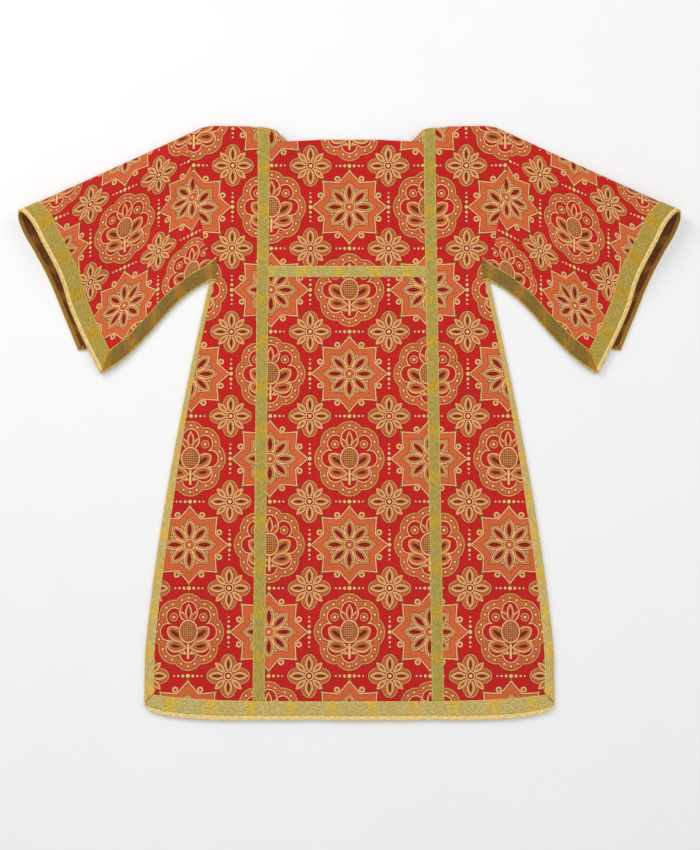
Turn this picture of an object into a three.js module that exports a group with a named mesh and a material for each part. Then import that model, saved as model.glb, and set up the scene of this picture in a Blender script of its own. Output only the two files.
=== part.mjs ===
// A tunicle, the short-sleeved over-vestment of a subdeacon, laid flat on its back with its front up.
// Millimetres. X runs to the wearer's left, Y towards the neck and Z up. "down" is measured from the
// shoulder line towards the hem. The cloth goes from the front over a rounded fold at the shoulders and
// the tops of the sleeves to the back. The side seams are closed and the undersides of the sleeves open.

import * as THREE from 'three';

// Walls and the gaps between them
const CLOTH = 1.6; // brocade with its stiffening
const TAPE = 0.9; // woven edge tape
const GAP = 0.3; // between pieces that touch
const TAPE_FACES = [CLOTH / 2 + GAP + TAPE, CLOTH / 2 + GAP]; // a tape's faces over the middle of its cloth
const CLOTH_FACES = [CLOTH / 2, -CLOTH / 2];
const FACING_FACES = TAPE_FACES.map((face) => -face).reverse(); // on the inside of the cloth
const BACK_HEIGHT = TAPE + GAP + CLOTH / 2; // middle of the back layer, which lies on its tapes
const FRONT_HEIGHT = BACK_HEIGHT + CLOTH + GAP; // middle of the front layer where it lies on the back

// Body
const LENGTH = 1120; // shoulder line to hem tape
const SHOULDER = 312; // half width at the top of the sleeve seam
const ARMPIT = { x: 262, down: 300 }; // foot of the sleeve seam
const HEM_HALF = 371.8; // half width above the hem
const FLARE = { height: 758, power: 1.475 }; // the sides spread over this height, and hang straight below
const HEM_RISE = { height: 17, reach: 364, power: 4.4, start: 900 }; // the hem curves up at its ends
const HEM_EDGE = LENGTH - 1.5; // cloth edge, just inside the tape's
const HEM_CORNER = { height: 16, inset: 9, power: 2.5 }; // the sides' rounding into the hem
const SHOULDER_FOLD = 7; // radius of the rounded fold over the shoulders
const SETTLE = 120; // length over which the front sinks from the fold onto the back

const NECK_CORNER = 141; // half width between the neck's corners on the crest

// The crest of the shoulder fold, from the middle of the neck to the sleeve seam
const CREST = [
  { x: 0, down: 7 },
  { x: NECK_CORNER, down: 7 },
  { x: 152, down: 2.3 },
  { x: 190, down: 0 },
  { x: 270, down: 0 },
  { x: 284, down: 2 },
  { x: 291, down: 7.5 },
  { x: 312, down: 18 },
];

// Neck edges of the front and the back
const NECK = [
  { x: 118.6, front: 32, back: 34 },
  { x: 131.5, front: 18, back: 20 },
  { x: 136.5, front: 12, back: 14 },
  { x: NECK_CORNER, front: 7, back: 8.5 },
];
const NECK_SOFT = { share: 0.35, from: 60, to: 128 }; // the front lies lower across the neck

// Sleeves. The top fold runs from the head of the seam to the tip, and the cuff is square to it.
const TIP = { x: 633.6, down: 177 };
const CUFF_FOLD = 17; // radius of the fold at the cuff, where the mouth stands open
const CUFF_SETTLE = 250; // length over which the front sinks there
const FOLD_POWER = 1.5; // the fold opens and the cuff edge draws back late along the sleeve
const DRAWN_BACK = 0.88; // in full from here, so that the tape on the cuff keeps its width
const SKEW_POWER = 3; // and its columns turn later still, to run level with the cuff
const CUFF_GAPE = { height: 3.4, from: 0.55, to: 1 }; // the mouth's own lift, over the tapes inside it

// Depth of the sleeve from its top fold to its two underarm edges
const SLEEVE_DEPTH = [
  { along: 0, front: 286.4, back: 286.4 },
  { along: 0.15, front: 287.3, back: 285.9 },
  { along: 0.35, front: 299.6, back: 286.2 },
  { along: 0.5, front: 315.4, back: 289.5 },
  { along: 0.65, front: 328.8, back: 292.8 },
  { along: 0.85, front: 341.9, back: 294 },
  { along: 0.95, front: 345, back: 290.7 },
  { along: 1, front: 345.3, back: 286.5 },
];

// How far the cuff edge stands back from the square cuff line, from the back (-) round to the front (+)
const CUFF_SETBACK = [
  { place: -1, set: 0 },
  { place: -0.75, set: 3.6 },
  { place: -0.5, set: 6.8 },
  { place: -0.3, set: 4.2 },
  { place: -0.17, set: 1 },
  { place: -0.068, set: 3.3 },
  { place: 0, set: 10.5 },
  { place: 0.074, set: 18.6 },
  { place: 0.14, set: 25 },
  { place: 0.26, set: 26.8 },
  { place: 0.49, set: 27.2 },
  { place: 0.61, set: 20 },
  { place: 0.73, set: 17.6 },
  { place: 1, set: 19.3 },
];

// Tapes
const EDGE_TAPE = 38; // cuffs, sides and underarms
const UNDERARM_TAPE = 30; // what its slight roll leaves showing
const TURNED_IN = 11; // cuff tape turned over the edge
const CLAVUS = 22;
const CLAVUS_LINES = { left: { top: 152, hem: 162 }, right: { top: -163, hem: -166 } };
const CHEST_BAR = { top: 274, bottom: 295.4 };
const ARMPIT_TAPE_END = { x: 251, top: 256, bottom: 302 }; // the underarm tape runs on over the seam
const HEM_INNER = { down: 1086, rise: 12, reach: 358, power: 4 };
const SIDE_TAPE_FRONT = [
  { down: 302, width: 7 },
  { down: 450, width: 8.2 },
  { down: 590, width: 9.8 },
  { down: 720, width: 13.8 },
  { down: 1060, width: 16.5 },
];
const SIDE_TAPE_ENDS = { start: 1.0035, slant: 1.955, inner: 1.9645, outer: 1.9858 }; // places of rows
const HEM_ENDS = [
  { across: 0, reach: 356.5 },
  { across: 0.33, reach: 365 },
  { across: 0.65, reach: 372 },
  { across: 0.84, reach: 371 },
  { across: 1, reach: 364 },
];

// Places of rows. From 0 to ARC a row lies on the round of the fold, from there to 1 it goes down to the
// armpit or the underarm edge, and on the body from 1 to 2 on to the hem.
const ARC = 0.1;
const ARC_ROWS = [0.025, 0.05, 0.075, 0.1];
const UPPER_ROWS = [...ARC_ROWS, 0.13, 0.18, 0.25, 0.35, 0.5, 1];
const LOWER_ROWS = [1.14, 1.24, 1.36, 1.5, 1.66, 1.8, 1.9, 1.955, 1.98, 1.991, 2];
const SLEEVE_ROWS = [
  -0.88, -0.6, -0.35, -0.1, -0.075, -0.05, -0.025, 0, ...ARC_ROWS,
  0.14, 0.2, 0.28, 0.38, 0.49, 0.61, 0.74, 0.88,
];
const NECK_ZONE = 0.3; // rows close up under the neck edge down to this place
const BACK_ROWS = [...ARC_ROWS, NECK_ZONE, 1, ...LOWER_ROWS];
const FACING_END = 0.995; // a cuff facing stops just inside the underarm edges
const SHOULDER_JOIN = (ARC * GAP) / 2 / (SHOULDER_FOLD * Math.PI / 2); // half the gap, as a place
const SEAM_JOIN = GAP / 2 / ARMPIT.x; // half the gap, as a share of the half width
const CLAVUS_END = 1.1; // how far above the lowest part of the hem tape's inner edge
const CLAVUS_FOOT = 1 + (HEM_INNER.down - CLAVUS_END - ARMPIT.down) / (HEM_EDGE - ARMPIT.down);
const CLAVUS_ROWS = {
  1: [0, ...ARC_ROWS, 0.13, 0.18, 0.25, 0.35, 0.5, CLAVUS_FOOT],
  '-1': [0, ...ARC_ROWS, NECK_ZONE, CLAVUS_FOOT],
};

// Places of columns: from the middle of a panel at the shoulder, as shares of a hem tape's reach, and on a
// sleeve as shares of its length and then as distances from the cuff
const FRONT_COLUMNS = [0, 60, 118.6, 131.5, 136.5, NECK_CORNER, 152, 190, 270, 284, 291, SHOULDER];
const BACK_COLUMNS = [0, 118.6, 131.5, NECK_CORNER, 152, 190, 270, 284, 291, SHOULDER];
const HEM_COLUMNS = [0, 0.3, 0.5, 0.65, 0.78, 0.87, 0.94, 1];
const SLEEVE_COLUMNS = [0.12, 0.26, 0.4, 0.54, 0.67, 0.78];
const TAPE_MIDDLE = (EDGE_TAPE + TURNED_IN) / 2;
const CUFF_STATIONS = [60, EDGE_TAPE, TAPE_MIDDLE, TURNED_IN, 0];

const BROCADE = { color: 0xb03a2a, roughness: 0.6, metalness: 0.1 };
const EDGING = { color: 0xb3974a, roughness: 0.55, metalness: 0.15 };
const FACING = { color: 0x8a6a35, roughness: 0.7, metalness: 0.05 };

// ---------------------------------------------------------------------------------------------------
// Helpers

const ease = (value, from, to) => THREE.MathUtils.smoothstep(value, from, to);
const lerp = THREE.MathUtils.lerp;
const STEP = 0.0004; // of a place, to read a surface's slope

// A smooth or straight reading of one column of a table
function reading(table, key, column, Interpolant = THREE.LinearInterpolant) {
  const places = table.map((row) => row[key]);
  const values = table.map((row) => row[column]);
  const interpolant = new Interpolant(places, values, 1);
  return (place) => interpolant.evaluate(place)[0];
}

const crestDown = reading(CREST, 'x', 'down');
const neckDown = { 1: reading(NECK, 'x', 'front'), '-1': reading(NECK, 'x', 'back') };
const sideTapeWidth = reading(SIDE_TAPE_FRONT, 'down', 'width');
const hemReach = reading(HEM_ENDS, 'across', 'reach');
const sleeveDepth = {
  1: reading(SLEEVE_DEPTH, 'along', 'front', THREE.CubicInterpolant),
  '-1': reading(SLEEVE_DEPTH, 'along', 'back', THREE.CubicInterpolant),
};
const cuffSetback = reading(CUFF_SETBACK, 'place', 'set', THREE.CubicInterpolant);

// A closed wall from two grids of points. faces(column, row) gives its outer and its inner point.
function wall(columns, rows, faces) {
  const positions = [];
  const outer = [];
  const inner = [];
  const add = (point) => {
    positions.push(point.x, LENGTH / 2 - point.y, point.z);
    return positions.length / 3 - 1;
  };
  for (const row of rows) {
    const pairs = columns.map((column) => faces(column, row));
    outer.push(pairs.map((pair) => add(pair[0])));
    inner.push(pairs.map((pair) => add(pair[1])));
  }
  const index = [];
  const quad = (a, b, c, d) => index.push(a, b, c, a, c, d);
  const last = { row: rows.length - 1, column: columns.length - 1 };
  for (let r = 0; r < last.row; r += 1) {
    for (let c = 0; c < last.column; c += 1) {
      quad(outer[r][c], outer[r + 1][c], outer[r + 1][c + 1], outer[r][c + 1]);
      quad(inner[r][c], inner[r][c + 1], inner[r + 1][c + 1], inner[r + 1][c]);
    }
    quad(outer[r][0], inner[r][0], inner[r + 1][0], outer[r + 1][0]);
    quad(outer[r][last.column], outer[r + 1][last.column], inner[r + 1][last.column], inner[r][last.column]);
  }
  for (let c = 0; c < last.column; c += 1) {
    quad(outer[0][c], outer[0][c + 1], inner[0][c + 1], inner[0][c]);
    quad(outer[last.row][c], inner[last.row][c], inner[last.row][c + 1], outer[last.row][c + 1]);
  }
  const geometry = new THREE.BufferGeometry();
  geometry.setAttribute('position', new THREE.Float32BufferAttribute(positions, 3));
  geometry.setIndex(index);
  geometry.computeVertexNormals();
  return geometry;
}

// The outward direction of a surface at a place, from two short steps along it
function outward(surface, u, v) {
  const acrossStep = surface(u + STEP, v).sub(surface(u - STEP, v));
  const downStep = surface(u, v + STEP).sub(surface(u, v - STEP));
  return acrossStep.cross(downStep).normalize();
}

// Two points over a surface, at the heights of a wall's two faces
function overSurface(surface, u, v, heights) {
  const normal = outward(surface, u, v);
  return heights.map((height) => surface(u, v).addScaledVector(normal, height));
}

const sheet = (surface, columns, rows, heights) =>
  wall(columns, rows, (u, v) => overSurface(surface, u, v, heights));

// The same wall on the other side of the garment
function mirrored(geometry) {
  const copy = geometry.clone();
  copy.scale(-1, 1, 1);
  const index = copy.getIndex();
  for (let i = 0; i < index.count; i += 3) {
    const first = index.getX(i);
    index.setX(i, index.getX(i + 2));
    index.setX(i + 2, first);
  }
  copy.computeVertexNormals();
  return copy;
}

// ---------------------------------------------------------------------------------------------------
// The laid form. Surfaces are the middles of the cloth. A point's y holds "down". A layer is 1 for the
// front and -1 for the back.

const layerHeight = (layer) => (layer > 0 ? FRONT_HEIGHT : BACK_HEIGHT);

// Distance out from the crest of a fold, and height, of the cloth at a place
function overFold(layer, place, fold) {
  const { radius, depth, rest, settle, soft } = fold;
  if (place < ARC) {
    const turn = (place / ARC) * (Math.PI / 2);
    const rise = layer * radius * Math.sin(turn);
    return { out: radius * (1 - Math.cos(turn)), height: BACK_HEIGHT + radius + rise };
  }
  const out = radius + ((depth - radius) * (place - ARC)) / (1 - ARC);
  if (layer < 0) return { out, height: BACK_HEIGHT };
  const fade = (1 + Math.cos(Math.PI * Math.min((out - radius) / settle, 1))) / 2;
  return { out, height: rest + (BACK_HEIGHT + 2 * radius - rest) * fade * soft };
}

const bodyFold = { radius: SHOULDER_FOLD, depth: ARMPIT.down, rest: FRONT_HEIGHT, settle: SETTLE, soft: 1 };

// Depth below the crest of a place on the body, and the half width of the cloth at a depth
function bodyDepth(place) {
  if (place > 1) return lerp(ARMPIT.down, HEM_EDGE, place - 1);
  return overFold(-1, place, bodyFold).out;
}

function halfWidth(depth) {
  if (depth <= ARMPIT.down) return lerp(SHOULDER, ARMPIT.x, depth / ARMPIT.down);
  const left = Math.max(1 - (depth - ARMPIT.down) / FLARE.height, 0);
  const corner = Math.max(1 - (HEM_EDGE - depth) / HEM_CORNER.height, 0);
  return lerp(HEM_HALF, ARMPIT.x, left ** FLARE.power) - HEM_CORNER.inset * corner ** HEM_CORNER.power;
}

const hemRise = (x) => HEM_RISE.height * (Math.abs(x) / HEM_RISE.reach) ** HEM_RISE.power;

function bodyPoint(layer, share, place) {
  const depth = bodyDepth(place);
  const x = share * halfWidth(depth);
  if (place > 1) {
    const down = depth - hemRise(x) * ease(depth, HEM_RISE.start, HEM_EDGE);
    return new THREE.Vector3(x, down, layerHeight(layer));
  }
  const crest = crestDown(Math.abs(share) * SHOULDER);
  const soft = lerp(NECK_SOFT.share, 1, ease(Math.abs(x), NECK_SOFT.from, NECK_SOFT.to));
  const { out, height } = overFold(layer, place, { ...bodyFold, soft });
  return new THREE.Vector3(x, crest + out * (1 - crest / ARMPIT.down), height);
}

// The place on a column where the cloth begins: at the seam on the crest, or at the neck edge
function firstPlace(layer, share) {
  const x = Math.abs(share) * SHOULDER;
  const crest = crestDown(x);
  const out = x < NECK_CORNER ? (neckDown[layer](x) - crest) / (1 - crest / ARMPIT.down) : 0;
  if (out >= SHOULDER_FOLD) {
    return ARC + ((1 - ARC) * (out - SHOULDER_FOLD)) / (ARMPIT.down - SHOULDER_FOLD);
  }
  const turn = Math.acos(1 - out / SHOULDER_FOLD);
  return Math.max((ARC * turn) / (Math.PI / 2), SHOULDER_JOIN);
}

// Rows close up under the top edge of a column
const closedUp = (first, row) => (row < NECK_ZONE ? lerp(first, NECK_ZONE, row / NECK_ZONE) : row);

// A panel's surface, with columns that run so that its outer face looks outward
function panelSurface(layer) {
  return (share, row) => bodyPoint(layer, layer * share, closedUp(firstPlace(layer, share), row));
}

const fold = { start: new THREE.Vector2(SHOULDER, CREST.at(-1).down), end: new THREE.Vector2(TIP.x, TIP.down) };
const foldRun = fold.end.clone().sub(fold.start);
const FOLD_LENGTH = foldRun.length();
const sleeveAxis = foldRun.clone().normalize();
const cuffWay = new THREE.Vector2(-sleeveAxis.y, sleeveAxis.x);
const seamWay = new THREE.Vector2(ARMPIT.x, ARMPIT.down).sub(fold.start).normalize();
const UNDERARM_LENGTH = 272; // armpit to the foot of the front cuff
const fromCuff = (distance) => 1 - distance / FOLD_LENGTH;

// A sleeve's surface, from the seam (0) to the cuff (1), and from its back edge (-1) over the fold (0) to
// its front edge (1). Columns keep their distance from the cuff edge all the way round it.
function sleevePoint(along, place) {
  const layer = place < 0 ? -1 : 1;
  const from = Math.abs(place);
  const reach = lerp(FOLD_LENGTH, UNDERARM_LENGTH, Math.max((from - ARC) / (1 - ARC), 0));
  const t = 1 - (1 - along) * (1 + (FOLD_LENGTH / reach - 1) * Math.max(along, 0) ** SKEW_POWER);
  const gape = CUFF_GAPE.height * ease(t, CUFF_GAPE.from, CUFF_GAPE.to);
  const { out, height } = overFold(layer, from, {
    radius: lerp(SHOULDER_FOLD, CUFF_FOLD, Math.max(t, 0) ** FOLD_POWER),
    depth: sleeveDepth[layer](t),
    rest: FRONT_HEIGHT + gape,
    settle: lerp(SETTLE, CUFF_SETTLE, t),
    soft: 1,
  });
  const way = seamWay.clone().lerp(cuffWay, t).normalize();
  const shift = -cuffSetback(place) * THREE.MathUtils.clamp(t / DRAWN_BACK, 0, 1) ** FOLD_POWER;
  const plan = foldRun.clone().multiplyScalar(t).add(fold.start);
  plan.addScaledVector(way, out).addScaledVector(sleeveAxis, shift);
  return new THREE.Vector3(plan.x, plan.y, height);
}

// ---------------------------------------------------------------------------------------------------
// Pieces

// A front or back panel, with columns named by their distance from the middle at the shoulder
function panel(layer, halfColumns, rows) {
  const shares = halfColumns.map((x) => x / SHOULDER);
  shares[shares.length - 1] = 1 - SEAM_JOIN;
  const columns = [...shares.slice(1).reverse().map((share) => -share), ...shares];
  return sheet(panelSurface(layer), columns, [0, ...rows], CLOTH_FACES);
}

function sleeve() {
  const columns = [SEAM_JOIN, ...SLEEVE_COLUMNS, ...CUFF_STATIONS.map(fromCuff)];
  return sheet(sleevePoint, columns, [-1, ...SLEEVE_ROWS, 1], CLOTH_FACES);
}

const clavusMiddle = (line, down) => lerp(line.top, line.hem, down / HEM_INNER.down);

function clavus(layer, line) {
  const surface = (offset, row) => {
    const place = closedUp(SHOULDER_JOIN, row);
    const depth = bodyDepth(place);
    const x = clavusMiddle(line, depth) + layer * offset;
    return bodyPoint(layer, x / halfWidth(depth), place);
  };
  const columns = [-CLAVUS / 2, 0, CLAVUS / 2];
  return sheet(surface, columns, CLAVUS_ROWS[layer], TAPE_FACES);
}

// A tape's two faces over the flat part of a layer
const flatFaces = (layer, x, down) =>
  TAPE_FACES.map((face) => new THREE.Vector3(x, down, layerHeight(layer) + layer * face));

function chestBar() {
  const faces = (side, down) => {
    const line = side > 0 ? CLAVUS_LINES.left : CLAVUS_LINES.right;
    return flatFaces(1, clavusMiddle(line, down) - side * (CLAVUS / 2 + GAP), down);
  };
  return wall([-1, 1], [CHEST_BAR.top, CHEST_BAR.bottom], faces);
}

function hemTape(layer, halfColumns) {
  const columns = [...halfColumns.slice(1).reverse().map((share) => -share), ...halfColumns];
  const faces = (share, across) => {
    const x = layer * share * hemReach(across);
    const inner = HEM_INNER.down - HEM_INNER.rise * (Math.abs(x) / HEM_INNER.reach) ** HEM_INNER.power;
    return flatFaces(layer, x, lerp(inner, LENGTH - hemRise(x), across));
  };
  return wall(columns, HEM_ENDS.map((row) => row.across), faces);
}

// The side tape's section from its front edge round the cloth's edge to its back edge: each corner of
// its outer and inner face, out from the cloth's edge and up from the surface it lies on
function sideTapeSection(down) {
  const front = sideTapeWidth(down);
  const top = FRONT_HEIGHT + TAPE_FACES[0];
  const back = EDGE_TAPE - front - top;
  const round = GAP + TAPE;
  return [
    [{ out: -front, up: top }, { out: -front, up: top - TAPE }],
    [{ out: GAP, up: top }, { out: 0, up: top - TAPE }],
    [{ out: round, up: top - TAPE }, { out: GAP, up: top - round }],
    [{ out: round, up: TAPE }, { out: GAP, up: round }],
    [{ out: GAP, up: 0 }, { out: 0, up: TAPE }],
    [{ out: -back, up: 0 }, { out: -back, up: TAPE }],
  ];
}

function sideTape() {
  const { start, slant, inner, outer } = SIDE_TAPE_ENDS;
  const rows = [start, ...LOWER_ROWS.filter((row) => row < outer), outer];
  const shorter = (row) => (row > slant ? lerp(slant, inner, (row - slant) / (outer - slant)) : row);
  const faces = (corner, row) => {
    const place = corner === 0 || corner === 5 ? shorter(row) : row;
    const edge = bodyPoint(1, 1 - SEAM_JOIN, place);
    const section = sideTapeSection(edge.y)[corner];
    return section.map((point) => new THREE.Vector3(edge.x + point.out, edge.y, point.up));
  };
  return wall([0, 1, 2, 3, 4, 5], rows, faces);
}

// The place on a sleeve that lies a distance up from its front (1) or back (-1) underarm edge
function fromUnderarm(layer, along, distance) {
  const radius = lerp(SHOULDER_FOLD, CUFF_FOLD, Math.max(along, 0) ** FOLD_POWER);
  const depth = sleeveDepth[layer](along) - radius;
  return layer * (1 - ((1 - ARC) * distance) / depth);
}

// The cuff tape's section, from its inner edge over the cuff edge to the end of its turned-in part:
// distance from the cuff edge, and each face's lift over the cloth and reach beyond the edge
const [TAPE_TOP, TAPE_UNDER] = TAPE_FACES;
const CUFF_SECTION = [
  { from: EDGE_TAPE, faces: [{ lift: TAPE_TOP, out: 0 }, { lift: TAPE_UNDER, out: 0 }] },
  { from: TAPE_MIDDLE, faces: [{ lift: TAPE_TOP, out: 0 }, { lift: TAPE_UNDER, out: 0 }] },
  { from: TURNED_IN, faces: [{ lift: TAPE_TOP, out: 0 }, { lift: TAPE_UNDER, out: 0 }] },
  { from: 0, faces: [{ lift: TAPE_TOP, out: GAP }, { lift: TAPE_UNDER, out: GAP / 2 }] },
  { from: 0, faces: [{ lift: TAPE_UNDER, out: GAP + TAPE }, { lift: CLOTH / 2, out: GAP }] },
  { from: 0, faces: [{ lift: -TAPE_UNDER, out: GAP + TAPE }, { lift: -CLOTH / 2, out: GAP }] },
  { from: 0, faces: [{ lift: -TAPE_TOP, out: GAP }, { lift: -TAPE_UNDER, out: GAP / 2 }] },
  { from: TURNED_IN, faces: [{ lift: -TAPE_TOP, out: 0 }, { lift: -TAPE_UNDER, out: 0 }] },
];

function cuffTape() {
  const faces = (corner, row) => {
    const { from, faces: ends } = CUFF_SECTION[corner];
    const along = fromCuff(from);
    const mitre = (from * UNDERARM_TAPE) / EDGE_TAPE + GAP / 2;
    const place = Math.abs(row) === 1 ? fromUnderarm(row, along, mitre) : row;
    const normal = outward(sleevePoint, along, place);
    const base = sleevePoint(along, place);
    const beyond = base.clone().sub(sleevePoint(along - STEP, place)).normalize();
    return ends.map((end) => base.clone().addScaledVector(normal, end.lift).addScaledVector(beyond, end.out));
  };
  return wall([...CUFF_SECTION.keys()], [-1, ...SLEEVE_ROWS, 1], faces);
}

function cuffFacing() {
  const columns = [EDGE_TAPE, TAPE_MIDDLE, TURNED_IN + GAP].map(fromCuff);
  return sheet(sleevePoint, columns, [-FACING_END, ...SLEEVE_ROWS, FACING_END], FACING_FACES);
}

// Tape along an underarm edge of a sleeve, from its mitre with the cuff tape to its end on the body
function underarmTape(layer) {
  const surface = (along, row) => {
    const distance = -layer * row;
    const onSleeve = sleevePoint(Math.max(along, 0), fromUnderarm(layer, Math.max(along, 0), distance));
    if (along >= 0) return onSleeve;
    const { x, top, bottom } = ARMPIT_TAPE_END;
    const end = new THREE.Vector3(x, lerp(bottom, top, distance / UNDERARM_TAPE), layerHeight(layer));
    return onSleeve.lerp(end, -along);
  };
  const slant = fromCuff(CUFF_STATIONS[0]);
  const faces = (along, row) => {
    const mitre = fromCuff((Math.abs(row) * EDGE_TAPE) / UNDERARM_TAPE + GAP);
    const place = along > slant ? lerp(slant, mitre, (along - slant) / (1 - slant)) : along;
    return overSurface(surface, place, row, TAPE_FACES);
  };
  const columns = [-1, 0, ...SLEEVE_COLUMNS, slant, lerp(slant, 1, 1 / 3), lerp(slant, 1, 2 / 3), 1];
  const upward = CUFF_STATIONS.slice(1).map((from) => (from * UNDERARM_TAPE) / EDGE_TAPE);
  return wall(columns, layer > 0 ? upward.map((distance) => -distance) : upward.reverse(), faces);
}

// ---------------------------------------------------------------------------------------------------
// The garment

const garment = new THREE.Group();

function add(name, geometry, finish) {
  const mesh = new THREE.Mesh(geometry, new THREE.MeshStandardMaterial(finish));
  mesh.name = name;
  garment.add(mesh);
}

function addPair(name, geometry, finish) {
  add(`${name}_left`, geometry, finish);
  add(`${name}_right`, mirrored(geometry), finish);
}

add('front_panel', panel(1, FRONT_COLUMNS, [...UPPER_ROWS, ...LOWER_ROWS]), BROCADE);
add('back_panel', panel(-1, BACK_COLUMNS, BACK_ROWS), BROCADE);
addPair('sleeve', sleeve(), BROCADE);
for (const [side, line] of Object.entries(CLAVUS_LINES)) {
  add(`clavus_front_${side}`, clavus(1, line), EDGING);
  add(`clavus_back_${side}`, clavus(-1, line), EDGING);
}
add('chest_bar', chestBar(), EDGING);
add('hem_tape_front', hemTape(1, HEM_COLUMNS), EDGING);
add('hem_tape_back', hemTape(-1, HEM_COLUMNS), EDGING);
addPair('side_tape', sideTape(), EDGING);
addPair('cuff_tape', cuffTape(), EDGING);
addPair('cuff_facing', cuffFacing(), FACING);
addPair('underarm_tape_front', underarmTape(1), EDGING);
addPair('underarm_tape_back', underarmTape(-1), EDGING);

// The origin is under the middle of the garment's outline
const outline = new THREE.Box3().setFromObject(garment);
const middle = outline.getCenter(new THREE.Vector3());
garment.position.set(-middle.x, -middle.y, -outline.min.z);

export default garment;
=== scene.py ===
# A tunicle laid out flat on its back: red and gold brocade edged and crossed with woven tape.
# The garment's own lengths are millimetres until they become a mesh. "down" runs from the shoulder
# line to the hem, x to the wearer's left.

import math

import bpy
import numpy as np
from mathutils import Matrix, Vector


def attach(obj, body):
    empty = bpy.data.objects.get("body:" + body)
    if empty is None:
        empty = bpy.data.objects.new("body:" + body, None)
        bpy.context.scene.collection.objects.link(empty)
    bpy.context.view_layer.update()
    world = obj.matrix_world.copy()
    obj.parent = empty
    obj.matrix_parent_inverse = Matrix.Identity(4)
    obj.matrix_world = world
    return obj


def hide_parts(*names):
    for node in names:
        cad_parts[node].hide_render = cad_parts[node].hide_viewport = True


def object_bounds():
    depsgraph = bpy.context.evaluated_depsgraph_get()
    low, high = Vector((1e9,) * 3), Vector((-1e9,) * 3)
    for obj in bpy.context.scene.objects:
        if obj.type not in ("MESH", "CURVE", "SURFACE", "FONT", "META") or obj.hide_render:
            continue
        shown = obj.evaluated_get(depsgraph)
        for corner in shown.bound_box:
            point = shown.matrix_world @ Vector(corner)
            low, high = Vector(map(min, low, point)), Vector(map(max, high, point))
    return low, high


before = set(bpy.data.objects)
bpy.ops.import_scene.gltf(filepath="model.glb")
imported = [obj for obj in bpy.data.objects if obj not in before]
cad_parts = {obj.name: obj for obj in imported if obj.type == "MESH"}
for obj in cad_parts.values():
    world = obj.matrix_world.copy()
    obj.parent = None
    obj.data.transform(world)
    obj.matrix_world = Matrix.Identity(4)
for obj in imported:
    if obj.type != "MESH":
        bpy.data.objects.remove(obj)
solid_bounds = [list(corner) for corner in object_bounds()]


# ---- The table, the light and the camera
# A plain white table top under soft studio light from large panels, one at each side of the neck and one
# overhead, and a camera that looks almost straight down on the garment.


def linear(hex_colour):
    """An sRGB hex colour such as "8a6a35" as the linear colour that a shader takes."""
    parts = [int(hex_colour[i : i + 2], 16) / 255 for i in (0, 2, 4)]
    return [p / 12.92 if p <= 0.04045 else ((p + 0.055) / 1.055) ** 2.4 for p in parts] + [1.0]


def node(kind, *inputs, **settings):
    """Adds a node to the tree in hand and returns its first output. A word in capitals is a sum of the
    Math node. A setting with a capital is the socket of that name, any other is the node's own."""
    made = tree.nodes.new("ShaderNodeMath" if kind.isupper() else "ShaderNode" + kind)
    if kind.isupper():
        made.operation = kind
    values = {}
    for name, value in settings.items():
        if name[0].isupper():
            values[name.replace("_", " ")] = value
        else:
            setattr(made, name, value)
    sockets = [socket for socket in made.inputs if socket.enabled]
    pairs = list(zip(sockets, inputs))
    pairs += [(next(s for s in sockets if s.name == name), value) for name, value in values.items()]
    for socket, value in pairs:
        if isinstance(value, bpy.types.NodeSocket):
            tree.links.new(value, socket)
        else:
            socket.default_value = value
    return next((socket for socket in made.outputs if socket.enabled), None)


def new_material(name):
    """An empty material, whose tree is then the one in hand."""
    global tree
    material = bpy.data.materials.new(name)
    material.use_nodes = True
    tree = material.node_tree
    tree.nodes.clear()
    return material


# Melamine-faced board: matt and even, with a faint mottle that keeps it from looking like paper.
table_board = new_material("melamine_board_matt")
mottle = node("TexNoise", node("TexCoord").node.outputs["Object"], Scale=9.0, Detail=3.0)
board_colour = node("Mix", data_type="RGBA", Factor=mottle, A=linear("f4f4f3"), B=linear("f7f7f6"))
board = node("BsdfPrincipled", Base_Color=board_colour, Roughness=0.75)
node("OutputMaterial", Surface=board)

bpy.ops.object.select_all(action="DESELECT")
bpy.ops.mesh.primitive_plane_add(size=9.0, location=(0.0, 0.0, -0.0004))
table_top = bpy.context.object
table_top.name = table_top.data.name = "table_top"
bpy.ops.object.transform_apply(location=True)
table_top.data.materials.append(table_board)


def panel_light(name, place, size, watts):
    """A square soft panel that faces the middle of the garment."""
    bpy.ops.object.light_add(type="AREA", location=place)
    light = bpy.context.object
    light.name = name
    light.data.size = size
    light.data.energy = watts
    light.rotation_euler = (-light.location).to_track_quat("-Z", "Y").to_euler()


panel_light("panel_neck_left", (-2.1, 2.0, 2.2), 1.6, 50.0)
panel_light("panel_neck_right", (2.2, 1.6, 2.6), 2.2, 26.0)
panel_light("panel_overhead", (0.0, -0.6, 3.6), 3.0, 36.0)

world = bpy.data.worlds.new("studio")
bpy.context.scene.world = world
world.use_nodes = True
world.node_tree.nodes["Background"].inputs["Color"].default_value = linear("fbfbff")
world.node_tree.nodes["Background"].inputs["Strength"].default_value = 0.46

bpy.ops.object.camera_add(location=(0.001, -0.3824, 2.978), rotation=(math.radians(7.0), 0.0, 0.0))
camera = bpy.context.object
camera.name = "camera"
camera.data.lens = 67.95
camera.data.sensor_width = 36.0
bpy.context.scene.camera = camera
bpy.context.scene.view_settings.view_transform = "Standard"  # dyed colours as deep as they are


# ---- The front
# One panel of brocade, stiffened, with a wide straight neck edge and flared sides. It comes over the
# rounded shoulder fold and sinks on to the back, and rises a little in long soft waves.

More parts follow.
